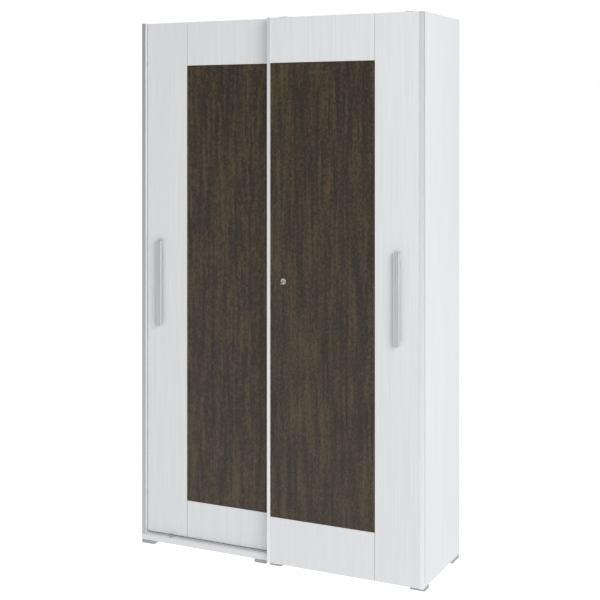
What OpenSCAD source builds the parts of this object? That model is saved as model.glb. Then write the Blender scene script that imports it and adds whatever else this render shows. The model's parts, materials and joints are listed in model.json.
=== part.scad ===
// Two-door sliding wardrobe: a dowelled carcass, an overlaid front door and an inset rear door.
// Inside the modules, x runs from the left side's outer face, y from the front door's face towards
// the back, and z from the floor. placed() then moves the origin to the middle of the floor area.

/* [Overall] */
// Outside width across the two side panels
wardrobe_w = 1200; // [1100:10:1500]
// Depth from the front door's face to the back edges of the sides
wardrobe_d = 410; // [340:5:620]
// Height from the floor to the tops of the sides and doors
wardrobe_h = 2080; // [1730:10:2500]

/* [Carcass] */
// Thickness of a side panel
side_t = 15; // [12.5:0.5:25]
// Thickness of the bottom panel
bottom_t = 22; // [16:0.5:30]
// Thickness of the top panel, the partition and the shelves
panel_t = 16; // [15:0.5:22]
// Thickness of a hardboard back
back_t = 3; // [2.5:0.5:5]
// Width of the rebate that takes a back's edge in a side panel
back_rebate = 7; // [5:0.5:9]
// Gap between the two backs, over the middle of the partition
back_gap = 1; // [0.5:0.5:3]
// How far the top panel's upper face lies below the tops of the sides
top_drop = 30; // [28:1:45]
// Gap between the rear door's back and the top panel
top_panel_gap = 6; // [5:1:12]
// Gap between the bottom track and the front edges of the partition and shelves
shelf_setback = 4; // [3:1:40]
// Depth of the metal trim on a side panel's front edge
trim_t = 2; // [1.5:0.5:3]
// Thickness of the trim's stem
trim_stem_t = 2; // [1.5:0.5:3]
// Depth of the trim's stem in its groove
trim_stem_d = 8; // [6:1:12]

/* [Interior] */
// Free height above the hat shelf
hat_space_h = 318; // [250:1:900]
// Number of loose shelves on the right
shelf_count = 4; // [4:1:4]
// Side play of a loose shelf, in all
shelf_play = 1; // [0.5:0.5:3]
// Diameter of a shelf pin
shelf_pin_d = 5; // [4:0.5:6]
// Depth of a shelf pin in its hole, and its length outside
shelf_pin_l = 8; // [6:1:10]
// Height of the oval hanging rail's section
rail_h = 30; // [24:1:36]
// Width of the hanging rail's section
rail_w = 15; // [12:1:18]
// Wall of the hanging rail
rail_wall = 1.2; // [1:0.1:2]
// Distance of the rail's centre below the hat shelf
rail_drop = 45; // [35:1:80]
// Distance of a rail holder's outer face from the front and back of the space
rail_end_gap = 20; // [10:5:60]

/* [Feet] */
// Height of a foot pad
foot_h = 14; // [8:1:30]
// Width of a corner foot
corner_foot_w = 58; // [40:1:80]
// Width of a middle foot
middle_foot_w = 50; // [40:1:60]
// Distance of the extra middle foot's centre from the partition's centre
middle_foot_offset = 66; // [62:1:120]
// Depth of a front foot
front_foot_d = 46; // [30:1:80]
// Depth of a rear foot
rear_foot_d = 75; // [40:1:90]

/* [Doors] */
// Thickness of the door boards
board_t = 16; // [14:0.5:20]
// Thickness of an edge profile's lips over the board
profile_lip = 1; // [0.8:0.1:2]
// Width of an edge profile's face
profile_w = 14; // [12:0.5:20]
// Thickness of an edge profile's web, outside the board's edge
profile_web = 4; // [3:0.5:6]
// Gap between the front door and the carcass
door_gap = 2; // [1.5:0.5:5]
// How far the rear door's face lies behind the carcass's front edges
rear_inset = 14; // [14:1:25]
// Gap between the rear door and the left side panel
rear_side_gap = 2; // [2:0.5:5]
// Gap between the bottom panel and the rear door
rear_bottom_gap = 9; // [8:1:15]
// How far the rear door reaches past the middle
rear_over = 40; // [30:1:60]
// How far the front door reaches past the middle
front_over = 26.6; // [20:0.1:40]
// Width of the rear door's stile
rear_stile_w = 184; // [150:1:220]
// Visible width of the front door's stile
front_stile_w = 172.5; // [140:0.5:210]
// Height of the doors' top rails
top_rail_h = 172.4; // [140:0.1:210]
// Height of the front door's bottom rail
bottom_rail_h = 177; // [140:1:210]
// Diameter of a door dowel
dowel_d = 8; // [6:1:10]
// Length of a door dowel
dowel_l = 30; // [25:1:40]

/* [Handles] */
// Length of a handle's bar
handle_l = 341; // [200:1:500]
// Width of a handle's bar
handle_w = 27; // [22:1:32]
// Thickness of a handle's bar
handle_t = 4.5; // [3.5:0.5:5]
// Finger gap behind a handle's bar
handle_gap = 11; // [9:0.5:11]
// Height of the handles' middle
handle_z = 1043.5; // [900:0.5:1150]
// Handle's centre line from the rear door's left edge
rear_handle_inset = 59; // [40:1:120]
// Handle's centre line from the front door's right edge
front_handle_inset = 99; // [50:1:120]
// Height of a handle's post
handle_post_h = 24; // [18:1:30]
// Width of a handle's post
handle_post_w = 20; // [20:1:22]
// Distance of a post's middle from the bar's end
handle_post_inset = 13; // [12:1:30]

/* [Running gear] */
// Distance of the rollers and guides from a door's edges
roller_inset = 60; // [45:1:90]
// Width of a roller housing
housing_w = 40; // [34:1:60]
// Depth of a roller housing
housing_d = 14; // [13:0.5:14]
// Radius of the groove that runs on the rib
wheel_r = 9.5; // [7.5:0.5:11]
// Depth of the groove in a wheel
groove_d = 1.5; // [1:0.5:2]
// Width of a wheel
wheel_w = 7; // [6:0.5:8]
// Diameter of an axle
axle_d = 4; // [3:0.5:5]
// Radial clearance of the running fits
running_fit = 0.05; // [0.02:0.01:0.1]
// Thickness of the bottom track's base
track_t = 2; // [1.5:0.5:3]
// Thickness of the lip that closes the gap below the rear door
track_lip_t = 1.5; // [1:0.1:2]
// Gap between the lip's top and the height of the rear door's bottom edge
track_lip_gap = 0.5; // [0.5:0.5:3]
// Width of a rib
rib_w = 2; // [1.5:0.5:3]
// Height of a rib above the base
rib_h = 3; // [2.5:0.5:4]
// Gap between a rib and its wheel
rib_gap = 0.3; // [0.2:0.1:0.5]
// Diameter of a guide pin in the top track
guide_pin_d = 8; // [6:1:10]
// Gap kept in front of the rear handle when a door is fully open
rear_stop_gap = 5.4; // [2:0.1:20]
// Gap kept beside the rear handle when the front door is fully open
front_stop_gap = 10.4; // [2:0.1:20]

/* [Lock] */
// Height of the lock's centre
lock_z = 1084; // [900:1:1200]
// Diameter of the lock's flange
lock_flange_d = 22; // [20:1:26]
// Diameter of the lock's barrel
lock_barrel_d = 18; // [16:1:19]
// Diameter of the turning plug
lock_plug_d = 12; // [10:0.5:13]
// Diameter of the lock's bolt
lock_bolt_d = 7; // [5:0.5:8]
// Gap between the bolt and the strike
strike_gap = 1.5; // [1:0.1:3]
// Width of the key's bow
key_bow_w = 11; // [9:0.5:14]
// Length of the key's bow
key_bow_l = 22; // [18:1:30]
// Length of the key between the lock and the bow's pivot
key_neck = 7; // [5:1:16]
// Angle at which the folded bow hangs below the neck
key_droop = 35; // [0:1:60]

/* [Hidden] */
$fn = 48;
fit = 0.05;            // radial clearance of dowels, pins and cams in their holes
cut = 1;               // how far a cut runs past a face
door_t = board_t + 2 * profile_lip;

// Depths
carcass_y = door_t + door_gap;
rear_y = carcass_y + rear_inset;
rear_back_y = rear_y + door_t;
top_front_y = rear_back_y + top_panel_gap;
nail_head_t = 0.6;
back_y1 = wardrobe_d - nail_head_t;
back_y0 = back_y1 - back_t;
front_lane_y = profile_lip + board_t + housing_d / 2;
rear_lane_y = rear_y + front_lane_y;
track_y0 = carcass_y + 1;
track_y1 = rear_lane_y + housing_d / 2 + 1;
inside_y = track_y1 + shelf_setback;

// Heights
floor_z = foot_h + bottom_t;
top_z1 = wardrobe_h - top_drop;
top_z0 = top_z1 - panel_t;
hat_shelf_z = top_z0 - hat_space_h - panel_t;
rear_z0 = floor_z + rear_bottom_gap;
panel_z0 = foot_h + bottom_rail_h;
panel_z1 = wardrobe_h - top_rail_h;
rib_top_z = floor_z + track_t + rib_h;
axle_z = rib_top_z + rib_gap + wheel_r;

// Widths
inner_x1 = wardrobe_w - side_t;
middle_x = wardrobe_w / 2;
part_x0 = middle_x - panel_t / 2;
part_x1 = middle_x + panel_t / 2;
rear_x0 = side_t + rear_side_gap;
rear_x1 = middle_x + rear_over;
rear_joint_x = rear_x0 + rear_stile_w;
front_x0 = middle_x - front_over;
front_x1 = wardrobe_w;
front_joint_x = front_x1 - profile_w - front_stile_w;
rear_handle_x = rear_x0 + rear_handle_inset;
front_handle_x = front_x1 - front_handle_inset;
handle_reach_x = rear_handle_x + handle_w / 2;
rear_travel = front_x0 - handle_reach_x - rear_stop_gap;
front_travel = front_x0 - handle_reach_x - front_stop_gap;
rear_roller_xs = [rear_x0 + roller_inset, rear_x1 - roller_inset];
front_roller_xs = [front_x0 + roller_inset, front_x1 - roller_inset];

// Rollers
housing_wall = 2;
housing_lift = 2;      // gap between a housing and the track's base
rib_room = 1;          // room around a rib where a housing stands over it
housing_plate_t = 3;
housing_plate_h = 29;
wheel_room = 1.5;      // room around a wheel in its housing
flange_r = wheel_r + groove_d;
groove_w = rib_w + 0.6;
housing_z0 = floor_z + track_t + housing_lift;
housing_z1 = axle_z + flange_r + wheel_room + 3;
stop_w = 12;
stop_d = 10;
stop_h = 10;
stop_play = 0.5;

// Top guides
channel_play = 0.5;
channel_w = guide_pin_d + 2 * channel_play;
channel_wall = 1.5;
channel_h = 12;
channel_base = 2;
channel_gap = 8;       // room for the track screws between the channels
rear_channel_y = top_front_y + 2 + channel_wall + channel_w / 2;
front_channel_y = rear_channel_y + channel_w + 2 * channel_wall + channel_gap;
guide_w = 30;
guide_t = 2;
guide_plate_h = 40;
guide_edge = 1;        // rim of an arm around its pin
rear_arm_z = wardrobe_h - 10;
front_arm_z = wardrobe_h + 1;
guide_pin_z0 = top_z1 + channel_base + 1;

// Cams, screws and nails
cam_d = 15;
cam_depth = 12.5;
cam_inset = 24;
cam_bolt_d = 6;
cam_bolt_in = 10;
cam_ys = [inside_y + 50, back_y0 - 60];
wood_screw_d = 3.5;
wood_screw_head_d = 7;
wood_screw_head_t = 2;
handle_screw_d = 4;
handle_screw_head_t = 2;
handle_screw_sink = 2.5;
handle_screw_bite = 12;
handle_screw_shift = 6;
confirmat_d = 5;
confirmat_l = 50;
confirmat_head_d = 8;
confirmat_head_t = 3;
nail_d = 1.6;
nail_head_d = 4;
nail_l = 20;
nail_margin = 60;
nail_pitch_count = 6;

// Lock
lock_plug_l = 6;
lock_flange_t = 2;
lock_x = rear_x1 - 1 + strike_gap + lock_bolt_d / 2;
lock_front_y = profile_lip - lock_flange_t;
lock_plug_y1 = lock_front_y + lock_plug_l;
lock_bolt_start = 0.5;
key_t = 2;
key_blade_h = 6;
key_play = 0.1;
key_bow_stretch = key_bow_l - key_bow_w;
key_reach = key_neck - lock_front_y + key_bow_w / 2 + key_bow_stretch * cos(key_droop);

// Fittings at the top back
bracket_t = 2;
bracket_w = 24;
bracket_leg = 34;
bracket_up = 28;
bracket_hole_d = 5.5;
bracket_hole_z = top_z1 + 18;
bracket_xs = [150, wardrobe_w - 150];

white = "#eceff1";
stone_brown = "#4a443a";
silver = "#c6c8ca";
plastic_grey = "#a9abad";

// ---- Helpers ----

// Moves the model's origin to the middle of the floor area
module placed() {
  translate([-middle_x, -(wardrobe_d - key_reach) / 2, 0]) children();
}

// A block from its low corner to its high corner
module block(lo, hi) {
  translate(lo) cube(hi - lo);
}

// Round bars of length l that start at p and run along +x, +y or +z
module rod_x(p, d, l) {
  translate(p) rotate([0, 90, 0]) cylinder(d = d, h = l);
}

module rod_y(p, d, l) {
  translate(p) rotate([-90, 0, 0]) cylinder(d = d, h = l);
}

module rod_z(p, d, l) {
  translate(p) cylinder(d = d, h = l);
}

// A flat rectangle with round corners, centred
module rounded_rect(w, h, r) {
  square([w - 2 * r, h], center = true);
  square([w, h - 2 * r], center = true);
  for (sx = [-1, 1], sy = [-1, 1])
    translate([sx * (w / 2 - r), sy * (h / 2 - r)]) circle(r = r);
}

// Swaps left and right
module mirrored() {
  translate([wardrobe_w, 0, 0]) mirror([1, 0, 0]) children();
}

// ---- Cam fittings ----

// Each cam: [face of the side or partition, direction into the panel, y, underside, thickness]
function panel_cams(x0, x1, z0, t) =
  [for (y = cam_ys, right = [false, true]) [right ? x1 : x0, right ? -1 : 1, y, z0, t]];
all_cams = concat(
  panel_cams(side_t, inner_x1, foot_h, bottom_t),
  panel_cams(side_t, inner_x1, top_z0, panel_t),
  panel_cams(side_t, part_x0, hat_shelf_z, panel_t));

module cam_fitting(c, play) {
  inner = cam_inset - cam_d / 2;
  start_x = c[1] > 0 ? c[0] - cam_bolt_in : c[0] - inner;
  rod_z([c[0] + c[1] * cam_inset, c[2], c[3] - play * cut], cam_d + 2 * play * fit,
    cam_depth + play * (cut + fit));
  rod_x([start_x - play * fit, c[2], c[3] + c[4] / 2], cam_bolt_d + 2 * play * fit,
    cam_bolt_in + inner + 2 * play * fit);
}

module cam_cuts() {
  for (c = all_cams) cam_fitting(c, 1);
}

module cam_fittings() {
  color(silver) placed() for (c = all_cams) cam_fitting(c, 0);
}

// ---- Shelf pins ----

shelf_pitch = (top_z0 - floor_z) / (shelf_count + 1);
shelf_pin_ys = [inside_y + 40, back_y0 - 40];
function shelf_z(i) = floor_z + i * shelf_pitch - panel_t / 2;

module pins(play) {
  for (i = [1:shelf_count], y = shelf_pin_ys, x = [part_x1, inner_x1])
    rod_x([x - shelf_pin_l - play * fit, y, shelf_z(i) - shelf_pin_d / 2],
      shelf_pin_d + 2 * play * fit, 2 * (shelf_pin_l + play * fit));
}

module shelf_pins() {
  color(silver) placed() pins(0);
}

// ---- Carcass panels ----

// The left side panel; the right one is its mirror image before drilling
module side_body() {
  difference() {
    block([0, carcass_y, foot_h], [side_t, wardrobe_d, wardrobe_h]);
    block([-cut, carcass_y - cut, floor_z], [side_t + cut, carcass_y + trim_t, wardrobe_h + cut]);
    block([(side_t - trim_stem_t) / 2, carcass_y, floor_z],
      [(side_t + trim_stem_t) / 2, carcass_y + trim_t + trim_stem_d, wardrobe_h + cut]);
    block([side_t - back_rebate, back_y0, foot_h - cut], [side_t + cut, wardrobe_d + cut, top_z1]);
  }
}

module left_side() {
  color(white) placed() difference() {
    side_body();
    cam_cuts();
  }
}

module right_side() {
  color(white) placed() difference() {
    mirrored() side_body();
    cam_cuts();
    pins(1);
  }
}

module partition_screw_cuts() {
  for (y = cam_ys) {
    rod_z([middle_x, y, foot_h - cut], confirmat_head_d, confirmat_head_t + cut);
    rod_z([middle_x, y, top_z1 - confirmat_head_t], confirmat_head_d, confirmat_head_t + cut);
    rod_z([middle_x, y, foot_h], confirmat_d, confirmat_l);
    rod_z([middle_x, y, top_z1 - confirmat_l], confirmat_d, confirmat_l);
  }
}

module bottom_panel() {
  color(white) placed() difference() {
    block([side_t, carcass_y, foot_h], [inner_x1, back_y0, floor_z]);
    cam_cuts();
    partition_screw_cuts();
  }
}

module top_panel() {
  color(white) placed() difference() {
    block([side_t, top_front_y, top_z0], [inner_x1, back_y0, top_z1]);
    cam_cuts();
    partition_screw_cuts();
  }
}

module centre_partition() {
  color(white) placed() difference() {
    block([part_x0, inside_y, floor_z], [part_x1, back_y0, top_z0]);
    cam_cuts();
    pins(1);
    partition_screw_cuts();
  }
}

module partition_screws() {
  color(silver) placed() for (y = cam_ys) {
    rod_z([middle_x, y, foot_h], confirmat_head_d, confirmat_head_t);
    rod_z([middle_x, y, foot_h + confirmat_head_t], confirmat_d, confirmat_l - confirmat_head_t);
    rod_z([middle_x, y, top_z1 - confirmat_head_t], confirmat_head_d, confirmat_head_t);
    rod_z([middle_x, y, top_z1 - confirmat_l], confirmat_d, confirmat_l - confirmat_head_t);
  }
}

module back_left() {
  color(white) placed()
    block([side_t - back_rebate, back_y0, foot_h], [middle_x - back_gap / 2, back_y1, top_z1]);
}

module back_right() {
  color(white) placed()
    block([middle_x + back_gap / 2, back_y0, foot_h],
      [inner_x1 + back_rebate, back_y1, top_z1]);
}

// Nails into the sides, the partition, the top panel and the bottom panel
nail_xs = [side_t - back_rebate / 2, middle_x - panel_t / 4, middle_x + panel_t / 4,
  inner_x1 + back_rebate / 2];
nail_span = top_z1 - foot_h - 2 * nail_margin;

module nail(x, z) {
  rod_y([x, back_y1, z], nail_head_d, nail_head_t);
  rod_y([x, back_y1 - nail_l, z], nail_d, nail_l);
}

module back_nails() {
  color(silver) placed() {
    for (x = nail_xs, i = [0:nail_pitch_count])
      nail(x, foot_h + nail_margin + i * nail_span / nail_pitch_count);
    for (z = [foot_h + bottom_t / 2, top_z1 - panel_t / 2], x = [0.2, 0.4, 0.6, 0.8] * wardrobe_w)
      nail(x, z);
  }
}

module edge_trim() {
  block([0, carcass_y, floor_z], [side_t, carcass_y + trim_t, wardrobe_h]);
  block([(side_t - trim_stem_t) / 2, carcass_y + trim_t, floor_z],
    [(side_t + trim_stem_t) / 2, carcass_y + trim_t + trim_stem_d, wardrobe_h]);
}

module left_edge_trim() {
  color(silver) placed() edge_trim();
}

module right_edge_trim() {
  color(silver) placed() mirrored() edge_trim();
}

// ---- Interior ----

module hat_shelf() {
  color(white) placed() difference() {
    block([side_t, inside_y, hat_shelf_z], [part_x0, back_y0, hat_shelf_z + panel_t]);
    cam_cuts();
  }
}

module loose_shelf(i) {
  color(white) placed()
    block([part_x1 + shelf_play / 2, inside_y, shelf_z(i)],
      [inner_x1 - shelf_play / 2, back_y0 - shelf_play, shelf_z(i) + panel_t]);
}

module shelf_1() loose_shelf(1);
module shelf_2() loose_shelf(2);
module shelf_3() loose_shelf(3);
module shelf_4() loose_shelf(4);

// The rail runs from front to back, because the carcass is too shallow for a cross rail
rail_x = (side_t + part_x0) / 2;
rail_z = hat_shelf_z - rail_drop;
holder_wall = 3;
holder_l = 12;
holder_web = 4;
holder_y0 = inside_y + rail_end_gap;
holder_y1 = back_y0 - rail_end_gap;

// An upright oval of width w and height h, extruded along y
module oval_y(y, w, h, l) {
  translate([rail_x, y, rail_z]) rotate([-90, 0, 0]) linear_extrude(l) {
    square([w, h - w], center = true);
    for (s = [-1, 1]) translate([0, s * (h - w) / 2]) circle(d = w);
  }
}

module hanging_rail() {
  l = holder_y1 - holder_y0 - 2 * holder_web;
  color(silver) placed() difference() {
    oval_y(holder_y0 + holder_web, rail_w, rail_h, l);
    oval_y(holder_y0 + holder_web - cut, rail_w - 2 * rail_wall, rail_h - 2 * rail_wall,
      l + 2 * cut);
  }
}

module rail_holder(y0, socket_y) {
  plate_w = 44;
  outer_h = rail_h + 2 * holder_wall;
  outer_w = rail_w + 2 * holder_wall;
  difference() {
    union() {
      oval_y(y0, outer_w, outer_h, holder_l);
      block([rail_x - outer_w / 2, y0, rail_z + outer_h / 4],
        [rail_x + outer_w / 2, y0 + holder_l, hat_shelf_z]);
      block([rail_x - plate_w / 2, y0, hat_shelf_z - holder_wall],
        [rail_x + plate_w / 2, y0 + holder_l, hat_shelf_z]);
    }
    oval_y(socket_y, rail_w, rail_h, holder_l - holder_web + cut);
  }
}

module rail_holders() {
  color(silver) placed() {
    rail_holder(holder_y0, holder_y0 + holder_web);
    rail_holder(holder_y1 - holder_l, holder_y1 - holder_l - cut);
  }
}

// ---- Tracks, stops, buffers and feet ----

module bottom_track() {
  screw_y = (front_lane_y + rear_lane_y) / 2;
  lip_y = (front_lane_y + housing_d / 2 + rear_y) / 2;
  color(silver) placed() difference() {
    union() {
      block([side_t, track_y0, floor_z], [inner_x1, track_y1, floor_z + track_t]);
      for (y = [front_lane_y, rear_lane_y])
        block([side_t, y - rib_w / 2, floor_z + track_t], [inner_x1, y + rib_w / 2, rib_top_z]);
      block([side_t, lip_y - track_lip_t / 2, floor_z + track_t],
        [inner_x1, lip_y + track_lip_t / 2, rear_z0 - track_lip_gap]);
    }
    for (x = track_screw_xs) rod_z([x, screw_y, floor_z - cut], wood_screw_d, track_t + 2 * cut);
  }
}

module top_track() {
  color(silver) placed() difference() {
    union() {
      block([side_t, rear_channel_y - channel_w / 2 - channel_wall, top_z1],
        [inner_x1, front_channel_y + channel_w / 2 + channel_wall, top_z1 + channel_base]);
      for (y = [rear_channel_y, front_channel_y], s = [-1, 1])
        translate([side_t, y + s * (channel_w + channel_wall) / 2 - channel_wall / 2, top_z1])
          cube([inner_x1 - side_t, channel_wall, channel_h]);
    }
    for (x = track_screw_xs)
      rod_z([x, top_screw_y, top_z1 - cut], wood_screw_d, channel_base + 2 * cut);
  }
}

top_screw_y = (rear_channel_y + front_channel_y) / 2;
track_screw_xs = [for (i = [0:4]) 100 + i * (wardrobe_w - 200) / 4];
track_screw_l = 15;
track_screw_head_d = 6;
track_screw_head_t = 1.2;

module track_screw(x, y, z) {
  rod_z([x, y, z], track_screw_head_d, track_screw_head_t);
  rod_z([x, y, z - track_screw_l], wood_screw_d, track_screw_l);
}

module track_screws() {
  color(silver) placed() for (x = track_screw_xs) {
    track_screw(x, (front_lane_y + rear_lane_y) / 2, floor_z + track_t);
    track_screw(x, top_screw_y, top_z1 + channel_base);
  }
}

module track_stop(x, y) {
  z = floor_z + track_t;
  difference() {
    block([x, y - stop_d / 2, z], [x + stop_w, y + stop_d / 2, z + stop_h]);
    block([x - cut, y - rib_w / 2, z - cut], [x + stop_w + cut, y + rib_w / 2, rib_top_z]);
  }
}

module track_stops() {
  reach = housing_w / 2 + stop_play;
  color(plastic_grey) placed() {
    track_stop(rear_roller_xs[0] - reach - stop_w, rear_lane_y);
    track_stop(rear_roller_xs[1] + rear_travel + reach, rear_lane_y);
    track_stop(front_roller_xs[0] - front_travel - reach - stop_w, front_lane_y);
    track_stop(front_roller_xs[1] + reach, front_lane_y);
  }
}

// Two pads that the rear door closes against
buffer_t = 1.5;
buffer_h = 20;
buffer_d = 12;

module door_buffers() {
  y = rear_y + door_t / 2;
  color(plastic_grey) placed() for (z = [panel_z0, panel_z1])
    block([side_t, y - buffer_d / 2, z], [side_t + buffer_t, y + buffer_d / 2, z + buffer_h]);
}

module foot(x0, w, y0, d) {
  block([x0, y0, 0], [x0 + w, y0 + d, foot_h]);
}

module feet() {
  middle_x0 = middle_x - middle_foot_w / 2;
  rear_foot_y = back_y0 - rear_foot_d;
  color(plastic_grey) placed() {
    foot(0, corner_foot_w, carcass_y, front_foot_d);
    foot(wardrobe_w - corner_foot_w, corner_foot_w, carcass_y, front_foot_d);
    foot(middle_x0, middle_foot_w, carcass_y, front_foot_d);
    foot(middle_x0 - middle_foot_offset, middle_foot_w, carcass_y, front_foot_d);
    foot(0, corner_foot_w, rear_foot_y, rear_foot_d);
    foot(wardrobe_w - corner_foot_w, corner_foot_w, rear_foot_y, rear_foot_d);
    foot(middle_x0, middle_foot_w, rear_foot_y, rear_foot_d);
  }
}

// ---- Wall brackets ----

bracket_screw_y = wardrobe_d - bracket_leg / 2;

module wall_brackets() {
  color(silver) placed() for (x = bracket_xs) difference() {
    union() {
      block([x - bracket_w / 2, wardrobe_d - bracket_leg, top_z1],
        [x + bracket_w / 2, wardrobe_d, top_z1 + bracket_t]);
      block([x - bracket_w / 2, wardrobe_d - bracket_t, top_z1],
        [x + bracket_w / 2, wardrobe_d, top_z1 + bracket_up]);
    }
    rod_y([x, wardrobe_d - bracket_t - cut, bracket_hole_z], bracket_hole_d,
      bracket_t + 2 * cut);
    rod_z([x, bracket_screw_y, top_z1 - cut], wood_screw_d, bracket_t + 2 * cut);
  }
}

module bracket_screws() {
  bite = 12;
  color(silver) placed() for (x = bracket_xs) {
    rod_z([x, bracket_screw_y, top_z1 + bracket_t], wood_screw_head_d, wood_screw_head_t);
    rod_z([x, bracket_screw_y, top_z1 - bite], wood_screw_d, bite + bracket_t);
  }
}

// ---- Door parts ----

// A door board between two corners of its face, in a door whose face is at door_y
module door_board(x0, x1, z0, z1, door_y) {
  block([x0, door_y + profile_lip, z0], [x1, door_y + profile_lip + board_t, z1]);
}

// A channel that grips a board's edge; the slot opens towards +x when opens_right is true
module edge_channel(x0, z0, door_y, opens_right) {
  slot_x0 = opens_right ? x0 + profile_web : x0 - cut;
  slot_x1 = opens_right ? x0 + profile_w + cut : x0 + profile_w - profile_web;
  difference() {
    block([x0, door_y, z0], [x0 + profile_w, door_y + door_t, wardrobe_h]);
    block([slot_x0, door_y + profile_lip, z0 - cut],
      [slot_x1, door_y + profile_lip + board_t, wardrobe_h + cut]);
  }
}

// Dowels across the stile's joint and the two rails' joints: [x, z, along x]
function door_dowels(joint_x, x0, x1, z0) = concat(
  [for (s = [0.25, 0.75]) [joint_x, z0 + s * (panel_z0 - z0), true]],
  [for (s = [0.1, 0.37, 0.63, 0.9]) [joint_x, panel_z0 + s * (panel_z1 - panel_z0), true]],
  [for (s = [0.25, 0.75]) [joint_x, panel_z1 + s * (wardrobe_h - panel_z1), true]],
  [for (s = [0.2, 0.8], z = [panel_z0, panel_z1]) [x0 + s * (x1 - x0), z, false]]);
rear_dowel_list = door_dowels(rear_joint_x, rear_joint_x, rear_x1, rear_z0);
front_dowel_list = door_dowels(front_joint_x, front_x0, front_joint_x, foot_h);

module dowels(list, door_y, play) {
  y = door_y + door_t / 2;
  l = dowel_l + play * cut;
  for (p = list) {
    if (p[2]) rod_x([p[0] - l / 2, y, p[1]], dowel_d + 2 * play * fit, l);
    else rod_z([p[0], y, p[1] - l / 2], dowel_d + 2 * play * fit, l);
  }
}

// ---- Handles ----

handle_round = 6;
handle_flute_r = 7;    // radius of a flute's curve
handle_flute_d = 1;    // depth of a flute
handle_flute_pitch = 9.8;
handle_edge_chamfer = 2.8;
handle_proj = handle_t + handle_gap;
handle_post_zs = [handle_z - handle_l / 2 + handle_post_inset,
  handle_z + handle_l / 2 - handle_post_inset];

// A fluted bar on two posts, on a board whose face is at face_y
module handle(x, face_y) {
  front = face_y - handle_proj;
  chamfer_side = handle_edge_chamfer * sqrt(2);
  difference() {
    union() {
      translate([x, front + handle_t, handle_z]) rotate([90, 0, 0]) linear_extrude(handle_t)
        rounded_rect(handle_w, handle_l, handle_round);
      for (z = handle_post_zs)
        block([x - handle_post_w / 2, front + handle_t, z - handle_post_h / 2],
          [x + handle_post_w / 2, face_y, z + handle_post_h / 2]);
    }
    for (i = [-0.5, 0.5])
      rod_z([x + i * handle_flute_pitch, front + handle_flute_d - handle_flute_r,
        handle_z - handle_l / 2 - cut], 2 * handle_flute_r, handle_l + 2 * cut);
    for (s = [-1, 1])
      translate([x + s * handle_w / 2, front, handle_z - handle_l / 2 - cut]) rotate(45)
        translate([-chamfer_side / 2, -chamfer_side / 2])
          cube([chamfer_side, chamfer_side, handle_l + 2 * cut]);
    for (z = handle_post_zs) {
      rod_y([x + handle_screw_shift, front - cut, z], wood_screw_head_d + 2 * fit,
        handle_screw_sink + cut);
      rod_y([x + handle_screw_shift, front, z], handle_screw_d + 2 * fit, handle_proj + cut);
    }
  }
}

module handle_screws(x, face_y) {
  head_y = face_y - handle_proj + handle_screw_sink - handle_screw_head_t;
  for (z = handle_post_zs) difference() {
    union() {
      rod_y([x + handle_screw_shift, head_y, z], wood_screw_head_d, handle_screw_head_t);
      rod_y([x + handle_screw_shift, head_y, z], handle_screw_d,
        face_y + handle_screw_bite - head_y);
    }
    translate([x + handle_screw_shift, head_y - cut, z]) rotate([-90, 0, 0])
      cylinder(d = 3, h = cut + 1.2, $fn = 6);
  }
}

// ---- Rollers ----

screw_offset_x = 10;
housing_screw_z = housing_z1 + housing_plate_h / 2;
hardware_bite = 12;

// A housing for one wheel behind a board whose back is at back_y
module roller_housing(x, board_back_y) {
  y = board_back_y;
  half = housing_w / 2;
  room = flange_r + wheel_room;
  difference() {
    union() {
      block([x - half, y, housing_z0], [x + half, y + housing_d, housing_z1]);
      block([x - half, y, housing_z1],
        [x + half, y + housing_plate_t, housing_z1 + housing_plate_h]);
    }
    block([x - room, y + housing_wall, housing_z0 - cut],
      [x + room, y + housing_d - housing_wall, axle_z + room]);
    block([x - half - cut, y + housing_d / 2 - rib_w / 2 - rib_room, housing_z0 - cut],
      [x + half + cut, y + housing_d / 2 + rib_w / 2 + rib_room, rib_top_z + rib_room]);
    rod_y([x, y - cut, axle_z], axle_d + 2 * fit, housing_d + 2 * cut);
    for (s = [-1, 1])
      rod_y([x + s * screw_offset_x, y - cut, housing_screw_z], wood_screw_d,
        housing_plate_t + 2 * cut);
  }
}

module wheel(x, lane_y) {
  half = wheel_w / 2;
  bore_r = axle_d / 2 + running_fit;
  translate([x, lane_y, axle_z]) rotate([90, 0, 0]) rotate_extrude()
    polygon([[bore_r, -half], [flange_r, -half], [flange_r, -groove_w / 2],
      [wheel_r, -groove_w / 2], [wheel_r, groove_w / 2], [flange_r, groove_w / 2],
      [flange_r, half], [bore_r, half]]);
}

module axle(x, lane_y) {
  rod_y([x, lane_y - housing_d / 2, axle_z], axle_d, housing_d);
}

// ---- Top guides ----

guide_screw_z = wardrobe_h - guide_plate_h + 12;

// A plate behind the board, an arm at arm_z and a pin down into the channel at pin_y
module top_guide(x, board_back_y, arm_z, pin_y) {
  half = guide_w / 2;
  difference() {
    union() {
      block([x - half, board_back_y, wardrobe_h - guide_plate_h],
        [x + half, board_back_y + guide_t, arm_z + guide_t]);
      block([x - half, board_back_y, arm_z],
        [x + half, pin_y + guide_pin_d / 2 + guide_edge, arm_z + guide_t]);
      rod_z([x, pin_y, guide_pin_z0], guide_pin_d, arm_z - guide_pin_z0 + guide_t / 2);
    }
    for (s = [-1, 1])
      rod_y([x + s * screw_offset_x, board_back_y - cut, guide_screw_z], wood_screw_d,
        guide_t + 2 * cut);
  }
}

// All the screws of a door's rollers and guides
module hardware_screws(xs, board_back_y) {
  for (x = xs, s = [-1, 1], p = [[housing_plate_t, housing_screw_z], [guide_t, guide_screw_z]]) {
    rod_y([x + s * screw_offset_x, board_back_y + p[0], p[1]], wood_screw_head_d,
      wood_screw_head_t);
    rod_y([x + s * screw_offset_x, board_back_y - hardware_bite, p[1]], wood_screw_d,
      hardware_bite + p[0]);
  }
}

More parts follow.
